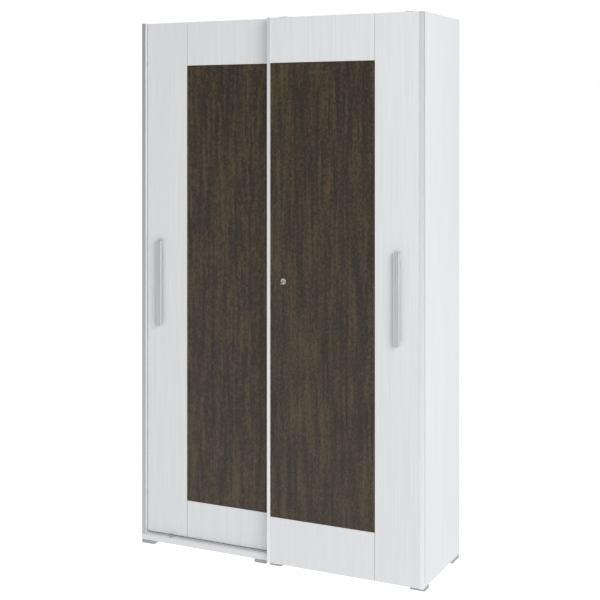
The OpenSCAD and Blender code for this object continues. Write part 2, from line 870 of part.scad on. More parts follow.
// ---- Rear door ----

rear_board_back_y = rear_y + profile_lip + board_t;
rear_face_y = rear_y + profile_lip;

module rear_board(x0, x1, z0, z1) {
  color(white) placed() difference() {
    door_board(x0, x1, z0, z1, rear_y);
    dowels(rear_dowel_list, rear_y, 1);
  }
}

module rear_stile() {
  rear_board(rear_x0, rear_joint_x, rear_z0, wardrobe_h);
}

module rear_top_rail() {
  rear_board(rear_joint_x, rear_x1 - profile_web, panel_z1, wardrobe_h);
}

module rear_bottom_rail() {
  rear_board(rear_joint_x, rear_x1 - profile_web, rear_z0, panel_z0);
}

module rear_panel() {
  color(stone_brown) placed() difference() {
    door_board(rear_joint_x, rear_x1 - profile_web, panel_z0, panel_z1, rear_y);
    dowels(rear_dowel_list, rear_y, 1);
  }
}

module rear_edge_profile() {
  color(silver) placed() edge_channel(rear_x1 - profile_w, rear_z0, rear_y, false);
}

module rear_handle() {
  color(silver) placed() handle(rear_handle_x, rear_face_y);
}

module rear_door_screws() {
  color(silver) placed() {
    handle_screws(rear_handle_x, rear_face_y);
    hardware_screws(rear_roller_xs, rear_board_back_y);
  }
}

module rear_roller_housings() {
  color(plastic_grey) placed() for (x = rear_roller_xs) roller_housing(x, rear_board_back_y);
}

module rear_axles() {
  color(silver) placed() for (x = rear_roller_xs) axle(x, rear_lane_y);
}

module rear_top_guides() {
  color(plastic_grey) placed() for (x = rear_roller_xs)
    top_guide(x, rear_board_back_y, rear_arm_z, rear_channel_y);
}

module rear_dowels() {
  color("tan") placed() dowels(rear_dowel_list, rear_y, 0);
}

// A lip beside the lock's bolt, on the rear door's edge profile
strike_h = 28;
strike_base_t = 1.5;
strike_lip_w = 4;
strike_base_w = 11;
strike_stand = 12;

module strike() {
  x1 = rear_x1 - 1;
  color(silver) placed() {
    block([x1 - strike_base_w, rear_y - strike_base_t, lock_z - strike_h / 2],
      [x1, rear_y, lock_z + strike_h / 2]);
    block([x1 - strike_lip_w, rear_y - strike_stand, lock_z - strike_h / 2],
      [x1, rear_y, lock_z + strike_h / 2]);
  }
}

module rear_wheel_left() {
  color(plastic_grey) placed() wheel(rear_roller_xs[0], rear_lane_y);
}

module rear_wheel_right() {
  color(plastic_grey) placed() wheel(rear_roller_xs[1], rear_lane_y);
}

// ---- Front door ----

front_board_back_y = profile_lip + board_t;

module front_board(x0, x1, z0, z1) {
  color(white) placed() difference() {
    door_board(x0, x1, z0, z1, 0);
    dowels(front_dowel_list, 0, 1);
  }
}

module front_stile() {
  front_board(front_joint_x, front_x1 - profile_web, foot_h, wardrobe_h);
}

module front_top_rail() {
  front_board(front_x0 + profile_web, front_joint_x, panel_z1, wardrobe_h);
}

module front_bottom_rail() {
  front_board(front_x0 + profile_web, front_joint_x, foot_h, panel_z0);
}

module front_panel() {
  color(stone_brown) placed() difference() {
    door_board(front_x0 + profile_web, front_joint_x, panel_z0, panel_z1, 0);
    dowels(front_dowel_list, 0, 1);
    rod_y([lock_x, profile_lip - cut, lock_z], lock_barrel_d + 2 * fit, board_t + 2 * cut);
  }
}

module front_left_profile() {
  color(silver) placed() edge_channel(front_x0, foot_h, 0, true);
}

module front_right_profile() {
  color(silver) placed() edge_channel(front_x1 - profile_w, foot_h, 0, false);
}

module front_handle() {
  color(silver) placed() handle(front_handle_x, profile_lip);
}

module front_door_screws() {
  color(silver) placed() {
    handle_screws(front_handle_x, profile_lip);
    hardware_screws(front_roller_xs, front_board_back_y);
  }
}

module front_roller_housings() {
  color(plastic_grey) placed() for (x = front_roller_xs) roller_housing(x, front_board_back_y);
}

module front_axles() {
  color(silver) placed() for (x = front_roller_xs) axle(x, front_lane_y);
}

module front_top_guides() {
  color(plastic_grey) placed() for (x = front_roller_xs)
    top_guide(x, front_board_back_y, front_arm_z, front_channel_y);
}

module front_dowels() {
  color("tan") placed() dowels(front_dowel_list, 0, 0);
}

module front_wheel_left() {
  color(plastic_grey) placed() wheel(front_roller_xs[0], front_lane_y);
}

module front_wheel_right() {
  color(plastic_grey) placed() wheel(front_roller_xs[1], front_lane_y);
}

// ---- Lock ----

module lock_barrel() {
  color(silver) placed() difference() {
    union() {
      rod_y([lock_x, lock_front_y, lock_z], lock_flange_d, lock_flange_t);
      rod_y([lock_x, profile_lip, lock_z], lock_barrel_d, door_t - profile_lip);
    }
    rod_y([lock_x, lock_front_y - cut, lock_z], lock_plug_d + 2 * running_fit,
      lock_plug_l + cut + fit);
    rod_y([lock_x, lock_front_y, lock_z], lock_bolt_d + 2 * running_fit, door_t + 2 * cut);
  }
}

module lock_plug() {
  color(silver) placed() difference() {
    rod_y([lock_x, lock_front_y, lock_z], lock_plug_d, lock_plug_l);
    block([lock_x - key_t / 2 - key_play, lock_front_y - cut,
        lock_z - key_blade_h / 2 - key_play],
      [lock_x + key_t / 2 + key_play, lock_plug_y1 - cut, lock_z + key_blade_h / 2 + key_play]);
  }
}

// A blade and a bow that is folded down about the neck's end
module key() {
  pivot_y = lock_front_y - key_neck;
  bow_end_y = pivot_y - key_bow_stretch * cos(key_droop);
  bow_end_z = lock_z - key_bow_stretch * sin(key_droop);
  color(silver) placed() difference() {
    union() {
      block([lock_x - key_t / 2, pivot_y, lock_z - key_blade_h / 2],
        [lock_x + key_t / 2, lock_plug_y1 - cut - key_play, lock_z + key_blade_h / 2]);
      rod_x([lock_x - key_t / 2, pivot_y, lock_z], key_bow_w, key_t);
      rod_x([lock_x - key_t / 2, bow_end_y, bow_end_z], key_bow_w, key_t);
      translate([lock_x, pivot_y, lock_z]) rotate([key_droop, 0, 0])
        translate([-key_t / 2, -key_bow_stretch, -key_bow_w / 2])
          cube([key_t, key_bow_stretch, key_bow_w]);
    }
    rod_x([lock_x - key_t, bow_end_y, bow_end_z], key_bow_w / 2, 2 * key_t);
  }
}

module lock_bolt() {
  y0 = lock_plug_y1 + lock_bolt_start;
  color(silver) placed() rod_y([lock_x, y0, lock_z], lock_bolt_d, door_t - y0);
}

left_side();
right_side();
bottom_panel();
top_panel();
centre_partition();
back_left();
back_right();
hat_shelf();
shelf_1();
shelf_2();
shelf_3();
shelf_4();
hanging_rail();
rail_holders();
left_edge_trim();
right_edge_trim();
bottom_track();
top_track();
track_stops();
feet();
cam_fittings();
shelf_pins();
back_nails();
track_screws();
partition_screws();
door_buffers();
wall_brackets();
bracket_screws();
rear_stile();
rear_top_rail();
rear_bottom_rail();
rear_panel();
rear_edge_profile();
rear_handle();
rear_door_screws();
rear_roller_housings();
rear_axles();
rear_top_guides();
rear_dowels();
strike();
front_stile();
front_top_rail();
front_bottom_rail();
front_panel();
front_left_profile();
front_right_profile();
front_handle();
front_door_screws();
front_roller_housings();
front_axles();
front_top_guides();
front_dowels();
lock_barrel();
lock_plug();
key();
lock_bolt();
rear_wheel_left();
rear_wheel_right();
front_wheel_left();
front_wheel_right();
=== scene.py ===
"""The looks of a two-door sliding wardrobe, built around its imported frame."""

import json
import logging
import math
from dataclasses import dataclass, field
from enum import Enum
from typing import Any

import bmesh
import bpy
from mathutils import Matrix, Vector


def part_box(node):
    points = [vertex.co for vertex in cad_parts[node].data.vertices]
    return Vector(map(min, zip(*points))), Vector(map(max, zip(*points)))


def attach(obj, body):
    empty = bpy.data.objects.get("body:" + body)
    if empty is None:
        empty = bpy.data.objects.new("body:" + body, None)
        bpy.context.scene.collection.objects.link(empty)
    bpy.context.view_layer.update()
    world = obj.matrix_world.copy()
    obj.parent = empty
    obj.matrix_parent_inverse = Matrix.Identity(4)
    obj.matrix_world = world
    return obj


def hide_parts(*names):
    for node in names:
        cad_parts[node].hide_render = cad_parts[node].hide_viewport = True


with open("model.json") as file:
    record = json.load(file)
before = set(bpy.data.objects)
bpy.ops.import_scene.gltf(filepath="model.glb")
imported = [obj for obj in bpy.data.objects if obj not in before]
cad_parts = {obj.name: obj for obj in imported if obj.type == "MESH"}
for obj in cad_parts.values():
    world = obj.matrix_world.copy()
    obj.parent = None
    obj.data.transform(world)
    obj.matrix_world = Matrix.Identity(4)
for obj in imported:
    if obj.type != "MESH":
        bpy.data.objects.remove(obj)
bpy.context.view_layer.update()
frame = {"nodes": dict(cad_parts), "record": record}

LOG = logging.getLogger("wardrobe")
MM = 0.001
SHARP_ANGLE = math.radians(32)
FLAT_ANGLE = math.radians(0.5)
WELD_MM = 0.001           # vertices closer than this are one
EASE_STEPS = 3            # facets around a rounded arris
PATTERN_SHIFT_M = 7.0     # the most that a piece's pattern is moved
UPRIGHT = (1.0, 1.0, 0.02)    # the stretch of a grain or a drawn line along a standing piece

Colour = tuple[float, float, float, float]

WHITE: Colour = (1.0, 1.0, 1.0, 1.0)


class Leaf(Enum):
    """One of the two doors, by the word that starts its nodes' names."""

    REAR = "rear"
    FRONT = "front"


# Each door's edge profiles
PROFILES: dict[Leaf, tuple[str, ...]] = {
    Leaf.REAR: ("edge_profile",),
    Leaf.FRONT: ("left_profile", "right_profile"),
}


# ---------------------------------------------------------------- node helpers


def srgb(code: str) -> Colour:
    """Turns an sRGB hex colour into a linear one.

    Args:
        code: six hex digits, such as "e6e7e9".

    Returns:
        Linear red, green, blue and an alpha of one.
    """
    channels = [int(code[i:i + 2], 16) / 255 for i in (0, 2, 4)]
    linear = [c / 12.92 if c <= 0.04045 else ((c + 0.055) / 1.055) ** 2.4 for c in channels]
    return (*linear, 1.0)


def add_node(
    tree: bpy.types.NodeTree,
    kind: str,
    inputs: dict[str | int, Any] | None = None,
    **settings: Any,
) -> bpy.types.Node:
    """Adds a shader node with its settings and links.

    Args:
        tree: the node tree that gets the node.
        kind: the node's type without its "ShaderNode" prefix.
        inputs: a value or an output socket for each input, by name or place.
        settings: the node's own properties.

    Returns:
        The new node.
    """
    node = tree.nodes.new("ShaderNode" + kind)
    for name, value in settings.items():
        setattr(node, name, value)
    for key, value in (inputs or {}).items():
        if isinstance(value, bpy.types.NodeSocket):
            tree.links.new(value, node.inputs[key])
        else:
            node.inputs[key].default_value = value
    return node


def per_metre(size_mm: float) -> float:
    """The texture scale that repeats about once in size_mm."""
    return 1.0 / (size_mm * MM)


# ---------------------------------------------------------------- finishes


@dataclass(frozen=True)
class Finish:
    """A surface finish; each kind of material adds its own pattern in dress().

    The pattern's place comes from the piece's own coordinates, shifted by a number of its own for
    each piece, so that two boards never show the same stretch of pattern.
    """

    name: str
    colour: str
    roughness: float
    metallic: float = 0.0
    ior: float = 1.5

    def material(self) -> bpy.types.Material:
        """Builds the node material.

        Returns:
            The material, named for the finish.
        """
        made = bpy.data.materials.new(self.name)
        made.use_nodes = True
        made.diffuse_color = srgb(self.colour)
        tree = made.node_tree
        tree.nodes.clear()
        shader = add_node(tree, "BsdfPrincipled", {
            "Base Color": srgb(self.colour),
            "Metallic": self.metallic,
            "Roughness": self.roughness,
            "IOR": self.ior,
        })
        add_node(tree, "OutputMaterial", {"Surface": shader.outputs["BSDF"]})
        self.dress(tree, shader)
        return made

    def place(self, tree: bpy.types.NodeTree,
              stretch: tuple[float, float, float]) -> bpy.types.NodeSocket:
        """Gives the pattern's coordinates in metres, stretched along one way.

        Args:
            tree: the material's node tree.
            stretch: factors along x, y and z; a small one draws the pattern out.

        Returns:
            The coordinates' output socket.
        """
        coords = add_node(tree, "TexCoord")
        info = add_node(tree, "ObjectInfo")
        shift = add_node(tree, "Math", {0: info.outputs["Random"], 1: PATTERN_SHIFT_M},
                         operation="MULTIPLY")
        moved = add_node(tree, "VectorMath", {0: coords.outputs["Object"], 1: shift.outputs[0]},
                         operation="ADD")
        mapped = add_node(tree, "Mapping", {"Vector": moved.outputs[0], "Scale": stretch})
        return mapped.outputs[0]

    def noise(self, tree: bpy.types.NodeTree, where: bpy.types.NodeSocket, size_mm: float,
              detail: float, rough: float = 0.5, distortion: float = 0.0) -> bpy.types.NodeSocket:
        """Makes a noise pattern of a real size.

        Args:
            tree: the material's node tree.
            where: the pattern's coordinates in metres.
            size_mm: the pattern's size.
            detail: the number of finer layers.
            rough: the strength of the finer layers.
            distortion: how far the pattern is pushed about by itself.

        Returns:
            The pattern's value, from zero to one.
        """
        pattern = add_node(tree, "TexNoise", {"Vector": where, "Scale": per_metre(size_mm),
                                              "Detail": detail, "Roughness": rough,
                                              "Distortion": distortion})
        return pattern.outputs[0]

    def spread(self, tree: bpy.types.NodeTree, value: bpy.types.NodeSocket,
               span: tuple[float, float], source: tuple[float, float] = (0.0, 1.0),
               ) -> bpy.types.NodeSocket:
        """Stretches a value's source range over another range.

        Args:
            tree: the material's node tree.
            value: the value.
            span: the results at the source range's two ends.
            source: the source range.

        Returns:
            The result's socket.
        """
        low, high = source
        mapped = add_node(tree, "MapRange", {0: value, 1: low, 2: high, 3: span[0], 4: span[1]})
        return mapped.outputs[0]

    def gloss(self, tree: bpy.types.NodeTree, shader: bpy.types.Node,
              pattern: bpy.types.NodeSocket, smoother: float, rougher: float) -> None:
        """Lets a pattern change the roughness a little.

        Args:
            tree: the material's node tree.
            shader: the node that gets the roughness.
            pattern: the pattern, from zero to one.
            smoother: how far the roughness falls at zero.
            rougher: how far the roughness rises at one.
        """
        span = (self.roughness - smoother, self.roughness + rougher)
        tree.links.new(self.spread(tree, pattern, span), shader.inputs["Roughness"])

    def tint(self, tree: bpy.types.NodeTree, shader: bpy.types.Node,
             factor: bpy.types.NodeSocket, first: str, second: str) -> None:
        """Colours the surface with a mix of two colours.

        Args:
            tree: the material's node tree.
            shader: the node that gets the colour.
            factor: the mixing factor.
            first: the sRGB hex colour at zero.
            second: the sRGB hex colour at one.
        """
        mix = add_node(tree, "Mix", {0: factor, 6: srgb(first), 7: srgb(second)},
                       data_type="RGBA")
        tree.links.new(mix.outputs[2], shader.inputs["Base Color"])

    def bump(self, tree: bpy.types.NodeTree, shader: bpy.types.Node, height: bpy.types.NodeSocket,
             depth_mm: float, strength: float) -> None:
        """Raises the surface by a height pattern.

        Args:
            tree: the material's node tree.
            shader: the node that gets the normal.
            height: the pattern, from zero to one.
            depth_mm: the pattern's depth in millimetres.
            strength: how strongly the pattern shows.
        """
        node = add_node(tree, "Bump", {"Strength": strength, "Distance": depth_mm * MM,
                                       "Height": height})
        tree.links.new(node.outputs[0], shader.inputs["Normal"])

    def dress(self, tree: bpy.types.NodeTree, shader: bpy.types.Node) -> None:
        """Adds the finish's pattern; the plain finish has none."""


@dataclass(frozen=True)
class WoodgrainMelamine(Finish):
    """White paper-faced chipboard, pressed with an upright wood grain.

    It gives a cool white with faint upright streaks and a soft, broad highlight.
    """

    shade: str = "e2e3e5"
    grain_mm: float = 7.0     # streak width, coarser than the real 2 mm so that it shows
    pore_mm: float = 1.6
    depth_mm: float = 0.12
    streaks: tuple[float, float] = (0.3, 0.72)    # where a streak starts and is full

    def dress(self, tree: bpy.types.NodeTree, shader: bpy.types.Node) -> None:
        """Adds grain streaks, pores and their slight change of gloss."""
        along = self.place(tree, UPRIGHT)
        streak = self.noise(tree, along, self.grain_mm, detail=5.0, rough=0.6)
        soft = add_node(tree, "ValToRGB", {0: streak})
        for stop, position in zip(soft.color_ramp.elements, self.streaks):
            stop.position = position
        self.tint(tree, shader, soft.outputs[0], self.shade, self.colour)
        pores = self.noise(tree, along, self.pore_mm, detail=3.0)
        self.gloss(tree, shader, pores, smoother=0.06, rougher=0.08)
        self.bump(tree, shader, pores, self.depth_mm, strength=0.35)


@dataclass(frozen=True)
class StoneMelamine(Finish):
    """Dark paper-faced chipboard with a cast-stone print.

    It gives a brown-grey ground with cloudy patches, faint upright runs and a fine grit.
    """

    light: str = "4c3f27"
    dark: str = "1f180c"
    cloud_mm: float = 150.0
    run_mm: float = 14.0
    mottle_mm: float = 9.0
    grit_mm: float = 3.0      # the real print's grit is finer than 1 mm and would not show
    depth_mm: float = 0.25
    weights: tuple[float, ...] = (0.12, 0.26, 0.36, 0.26)    # of clouds, runs, mottle and grit
    fade: float = 0.05        # from the ground colour to the dark or the light one
    cloud_stretch: tuple[float, float, float] = (1.0, 1.0, 0.7)
    run_stretch: tuple[float, float, float] = (1.0, 1.0, 0.06)

    def dress(self, tree: bpy.types.NodeTree, shader: bpy.types.Node) -> None:
        """Adds clouds, runs, mottling and grit, from the largest to the smallest."""
        even = self.place(tree, self.cloud_stretch)
        long = self.place(tree, self.run_stretch)
        clouds = self.noise(tree, even, self.cloud_mm, detail=6.0, rough=0.6, distortion=0.6)
        runs = self.noise(tree, long, self.run_mm, detail=4.0, rough=0.55)
        mottle = self.noise(tree, even, self.mottle_mm, detail=8.0, rough=0.7)
        grit = self.noise(tree, even, self.grit_mm, detail=3.0, rough=0.6)
        total = 0.0
        for pattern, weight in zip((clouds, runs, mottle, grit), self.weights):
            part = add_node(tree, "Math", {0: pattern, 1: weight, 2: total},
                            operation="MULTIPLY_ADD")
            total = part.outputs[0]
        ramp = add_node(tree, "ValToRGB", {0: total})
        stops = ramp.color_ramp.elements
        middle = 0.5
        stops[0].position, stops[0].color = middle - self.fade, srgb(self.dark)
        stops[1].position, stops[1].color = middle + self.fade, srgb(self.light)
        stops.new(middle).color = srgb(self.colour)
        tree.links.new(ramp.outputs[0], shader.inputs["Base Color"])
        self.gloss(tree, shader, mottle, smoother=0.08, rougher=0.1)
        self.bump(tree, shader, total, self.depth_mm, strength=0.5)


@dataclass(frozen=True)
class DrawnMetal(Finish):
    """Extruded or drawn metal, such as anodised aluminium or zinc-plated steel.

    It gives a satin grey with fine lines along the run, and broad soft reflections.
    """

    line_mm: float = 1.2      # drawing lines, coarser than the real ones so that they show
    contrast: float = 0.06
    depth_mm: float = 0.02

    def dress(self, tree: bpy.types.NodeTree, shader: bpy.types.Node) -> None:
        """Adds the drawing lines to the gloss and the surface."""
        along = self.place(tree, UPRIGHT)
        lines = self.noise(tree, along, self.line_mm, detail=3.0, rough=0.6)
        self.gloss(tree, shader, lines, smoother=self.contrast, rougher=self.contrast)
        self.bump(tree, shader, lines, self.depth_mm, strength=0.3)


@dataclass(frozen=True)
class MouldedPlastic(Finish):
    """Injection-moulded plastic with a spark-eroded mould grain.

    It gives an even colour with a fine sparkle-free grain and a dull highlight.
    """

    grain_mm: float = 1.0
    wear: str = "8d8f91"
    cloud_mm: float = 25.0
    depth_mm: float = 0.05

    def dress(self, tree: bpy.types.NodeTree, shader: bpy.types.Node) -> None:
        """Adds the mould's grain and a slight cloudiness."""
        even = self.place(tree, (1.0, 1.0, 1.0))
        grain = self.noise(tree, even, self.grain_mm, detail=2.0)
        cloud = self.noise(tree, even, self.cloud_mm, detail=3.0)
        factor = self.spread(tree, cloud, span=(0.0, 0.3), source=(0.35, 0.8))
        self.tint(tree, shader, factor, self.colour, self.wear)
        self.bump(tree, shader, grain, self.depth_mm, strength=0.4)


@dataclass(frozen=True)
class Hardboard(Finish):
    """Thin fibreboard with a lacquered face.

    It gives a slightly warm white with short, lying fibres.
    """

    fibre: str = "cfcdc6"
    fibre_mm: float = 4.0
    depth_mm: float = 0.1

    def dress(self, tree: bpy.types.NodeTree, shader: bpy.types.Node) -> None:
        """Adds short fibres and a faint pressed texture."""
        even = self.place(tree, (1.0, 1.0, 0.35))
        fibres = self.noise(tree, even, self.fibre_mm, detail=6.0, rough=0.75)
        factor = self.spread(tree, fibres, span=(0.0, 0.8), source=(0.45, 0.75))
        self.tint(tree, shader, factor, self.colour, self.fibre)
        self.bump(tree, shader, fibres, self.depth_mm, strength=0.4)


@dataclass(frozen=True)
class TurnedBeech(Finish):
    """Bare beech, as used for dowels.

    It gives a pale pinkish brown with short dark flecks.
    """

    fleck: str = "9c7448"
    line_mm: float = 2.0
    depth_mm: float = 0.1

    def dress(self, tree: bpy.types.NodeTree, shader: bpy.types.Node) -> None:
        """Adds growth lines and flecks."""
        along = self.place(tree, (1.0, 1.0, 0.2))
        lines = self.noise(tree, along, self.line_mm, detail=4.0)
        factor = self.spread(tree, lines, span=(0.0, 0.7), source=(0.5, 0.75))
        self.tint(tree, shader, factor, self.colour, self.fleck)
        self.bump(tree, shader, lines, self.depth_mm, strength=0.4)


FINISHES: dict[str, Finish] = {
    "white_melamine": WoodgrainMelamine("white_woodgrain_melamine", "ebecee", 0.46),
    "dark_melamine": StoneMelamine("dark_stone_melamine", "332812", 0.42),
    "white_hardboard": Hardboard("lacquered_hardboard", "e3e2de", 0.55),
    "aluminium": DrawnMetal("anodised_aluminium", "d9dadc", 0.55, metallic=1.0),
    "zinc_steel": DrawnMetal("zinc_plated_steel", "c2c5c8", 0.34, metallic=1.0, line_mm=2.0),
    "grey_plastic": MouldedPlastic("moulded_grey_plastic", "a6a8aa", 0.5, ior=1.46),
    "nylon": MouldedPlastic("moulded_nylon", "deded8", 0.45, ior=1.53, wear="c9c9c0"),
    "beech": TurnedBeech("turned_beech", "c79e6e", 0.6),
    "rubber": MouldedPlastic("soft_rubber", "7d7e80", 0.8, ior=1.52, wear="6a6b6d"),
    "nickel": DrawnMetal("nickel_plate", "cac6bf", 0.22, metallic=1.0, line_mm=0.8),
}

# One aluminium in three copies, each as bright as its parts looked under the light: the profiles
# and the lower track get a brighter copy, which is painted light (the track's lip lies in
# shadow), and the handles and trims get duller copies, which are painted shade
PAINTED_BRIGHT_METAL = DrawnMetal("bright_anodised_aluminium", "f1f2f4", 0.6, metallic=1.0)
PAINTED_DIM_HANDLE_METAL = DrawnMetal("satin_anodised_aluminium", "cfd0d2", 0.55, metallic=1.0)
PAINTED_DIM_TRIM_METAL = DrawnMetal("dull_anodised_aluminium", "c4c5c7", 0.55, metallic=1.0)
PAINTED_LIGHT_COPIES: dict[Finish, tuple[str, ...]] = {
    PAINTED_BRIGHT_METAL: ("rear_edge_profile", "front_left_profile", "front_right_profile",
                    "bottom_track"),
    PAINTED_DIM_HANDLE_METAL: ("rear_handle", "front_handle"),
    PAINTED_DIM_TRIM_METAL: ("left_edge_trim", "right_edge_trim"),
}


# ---------------------------------------------------------------- workshop


@dataclass
class Workshop:
    """Makes finished pieces from the frame's nodes, and knows each node's body and finish."""

    materials: dict[str, bpy.types.Material] = field(default_factory=dict)
    bodies: dict[str, str] = field(default_factory=dict)
    slots: dict[str, str] = field(default_factory=dict)
    # the aluminium copies with painted light or shade, by node
    painted_copies: dict[str, bpy.types.Material] = field(default_factory=dict)

    def open(self) -> None:
        """Reads the record and builds every finish's material."""
        record = frame["record"]
        for body, nodes in record["behaviour"]["bodies"].items():
            for node in nodes:
                self.bodies[node] = body
        for part in record["subparts"]:
            self.slots[part["node"]] = part["material_slot"]
        self.materials = {slot: finish.material() for slot, finish in FINISHES.items()}
        for finish, nodes in PAINTED_LIGHT_COPIES.items():
            self.painted_copies.update(dict.fromkeys(nodes, finish.material()))

    def look(self, node: str) -> bpy.types.Material:
        """A node's material: its copy of the aluminium with painted light or shade, if it has
        one, or else its slot's.
        """
        return self.painted_copies.get(node, self.materials[self.slots[node]])

    def settle(self, piece: bpy.types.Object, node: str) -> bpy.types.Object:
        """Gives a new piece its node's finish and body, hides the node and logs the swap.

        Args:
            piece: the new piece, already in place.
            node: the node that it stands for.

        Returns:
            The piece.
        """
        piece.data.materials.clear()
        piece.data.materials.append(self.look(node))
        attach(piece, self.bodies[node])
        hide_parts(node)
        LOG.info("%s stands for %s on %s", piece.name, node, self.bodies[node])
        return piece

    def keep(self, *nodes: str) -> None:
        """Shows frame nodes as they are, in their finish."""
        for node in nodes:
            for slot in frame["nodes"][node].material_slots:
                slot.material = self.look(node)
            LOG.info("%s keeps its mesh", node)

    def eased(self, node: str, radius_mm: float) -> bpy.types.Object:
        """Copies a node's shape and rounds its arrises.

        Args:
            node: the node to copy.
            radius_mm: the radius of the rounding.

        Returns:
            The finished piece.
        """
        shape = bmesh.new()
        shape.from_mesh(frame["nodes"][node].data)
        bmesh.ops.remove_doubles(shape, verts=shape.verts, dist=WELD_MM * MM)
        return self.settle(ease_shape(shape, node + "_piece", radius_mm), node)

    def board(self, node: str, radius_mm: float, joint_mm: float = 0.0) -> bpy.types.Object:
        """Builds a plain board with rounded arrises in a node's box.

        Args:
            node: the node whose box the board fills.
            radius_mm: the radius of the arrises.
            joint_mm: how far the board's edges stay clear of its neighbours'.

        Returns:
            The finished piece.
        """
        low, high = (Vector(corner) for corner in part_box(node))
        clear = Vector((joint_mm, 0.0, joint_mm)) * MM
        low, high = low + clear, high - clear
        shape = bmesh.new()
        middle = Matrix.Translation((low + high) / 2)
        size = Matrix.Diagonal((*(high - low), 1.0))
        bmesh.ops.create_cube(shape, size=1.0, matrix=middle @ size)
        return self.settle(ease_shape(shape, node + "_board", radius_mm), node)


def ease_shape(shape: bmesh.types.BMesh, name: str, radius_mm: float) -> bpy.types.Object:
    """Rounds a shape's arrises and makes an object of it.

    Args:
        shape: the shape, which is freed.
        name: the object's name.
        radius_mm: the radius of the rounding.

    Returns:
        The new object, with weighted normals.
    """
    bmesh.ops.dissolve_limit(shape, angle_limit=FLAT_ANGLE, verts=shape.verts, edges=shape.edges)
    arrises = [e for e in shape.edges if len(e.link_faces) == 2
               and e.calc_face_angle() > SHARP_ANGLE]
    bmesh.ops.bevel(shape, geom=arrises, offset=radius_mm * MM, segments=EASE_STEPS,
                    profile=0.5, affect="EDGES", clamp_overlap=True)
    mesh = bpy.data.meshes.new(name)
    shape.to_mesh(mesh)
    shape.free()
    mesh.shade_smooth()
    mesh.set_sharp_from_angle(angle=SHARP_ANGLE)
    piece = bpy.data.objects.new(name, mesh)
    bpy.context.scene.collection.objects.link(piece)
    weighted = piece.modifiers.new("weighted", "WEIGHTED_NORMAL")
    weighted.keep_sharp = True
    freeze(piece)
    return piece


def freeze(piece: bpy.types.Object) -> None:
    """Applies a piece's modifiers to its mesh."""
    graph = bpy.context.evaluated_depsgraph_get()
    made = bpy.data.meshes.new_from_object(piece.evaluated_get(graph), depsgraph=graph)
    old = piece.data
    piece.modifiers.clear()
    piece.data = made
    made.name = old.name
    bpy.data.meshes.remove(old)


# ---------------------------------------------------------------- sub-assemblies


@dataclass
class Carcass:
    """Sides, panels, backs, trims, tracks and feet."""

    shop: Workshop
    side_ease_mm: float = 0.5
    panel_ease_mm: float = 0.5
    trim_ease_mm: float = 0.4
    track_ease_mm: float = 0.3
    foot_ease_mm: float = 2.0
    back_ease_mm: float = 0.3
    stop_ease_mm: float = 1.0
    buffer_ease_mm: float = 0.6
    bracket_ease_mm: float = 0.5

    def build(self) -> None:
        """Makes every piece of the carcass."""
        for node in ("left_side", "right_side"):
            self.shop.eased(node, self.side_ease_mm)
        for node in ("bottom_panel", "top_panel", "centre_partition"):
            self.shop.eased(node, self.panel_ease_mm)
        for node in ("back_left", "back_right"):
            self.shop.board(node, self.back_ease_mm)
        for node in ("left_edge_trim", "right_edge_trim"):
            self.shop.eased(node, self.trim_ease_mm)
        for node in ("bottom_track", "top_track"):
            self.shop.eased(node, self.track_ease_mm)
        self.shop.eased("feet", self.foot_ease_mm)
        self.shop.eased("track_stops", self.stop_ease_mm)
        self.shop.eased("door_buffers", self.buffer_ease_mm)
        self.shop.eased("wall_brackets", self.bracket_ease_mm)
        self.shop.keep("cam_fittings", "shelf_pins", "back_nails", "track_screws",
                       "partition_screws", "bracket_screws")


@dataclass
class Interior:
    """Shelves and the hanging rail."""

    shop: Workshop
    shelf_ease_mm: float = 0.6
    rail_ease_mm: float = 0.3

    def build(self) -> None:
        """Makes the shelves, the rail and its holders."""
        self.shop.eased("hat_shelf", self.shelf_ease_mm)
        for number in range(1, 5):
            self.shop.board(f"shelf_{number}", self.shelf_ease_mm)
        for node in ("hanging_rail", "rail_holders"):
            self.shop.eased(node, self.rail_ease_mm)


@dataclass
class Door:
    """A framed sliding door with its edge profiles, handle and running gear."""

    shop: Workshop
    leaf: Leaf
    board_ease_mm: float = 0.7
    joint_mm: float = 0.8         # each board's share of the fine dark line at a joint
    profile_ease_mm: float = 0.5
    handle_ease_mm: float = 0.5
    gear_ease_mm: float = 0.4

    def name(self, part: str) -> str:
        """A node's name on this door."""
        return f"{self.leaf.value}_{part}"

    def build(self) -> None:
        """Makes every piece that the door carries."""
        for part in ("stile", "top_rail", "bottom_rail", "panel"):
            self.shop.board(self.name(part), self.board_ease_mm, self.joint_mm)
        for part in PROFILES[self.leaf]:
            self.shop.eased(self.name(part), self.profile_ease_mm)
        self.shop.eased(self.name("handle"), self.handle_ease_mm)
        for part in ("roller_housings", "top_guides", "wheel_left", "wheel_right"):
            self.shop.eased(self.name(part), self.gear_ease_mm)
        self.shop.keep(self.name("door_screws"), self.name("axles"), self.name("dowels"))


@dataclass
class Lock:
    """The cylinder lock, its key, its bolt and the strike."""

    shop: Workshop
    ease_mm: float = 0.4

    def build(self) -> None:
        """Makes the lock's pieces."""
        for node in ("lock_barrel", "lock_plug", "key", "lock_bolt", "strike"):
            self.shop.eased(node, self.ease_mm)


# ---------------------------------------------------------------- studio


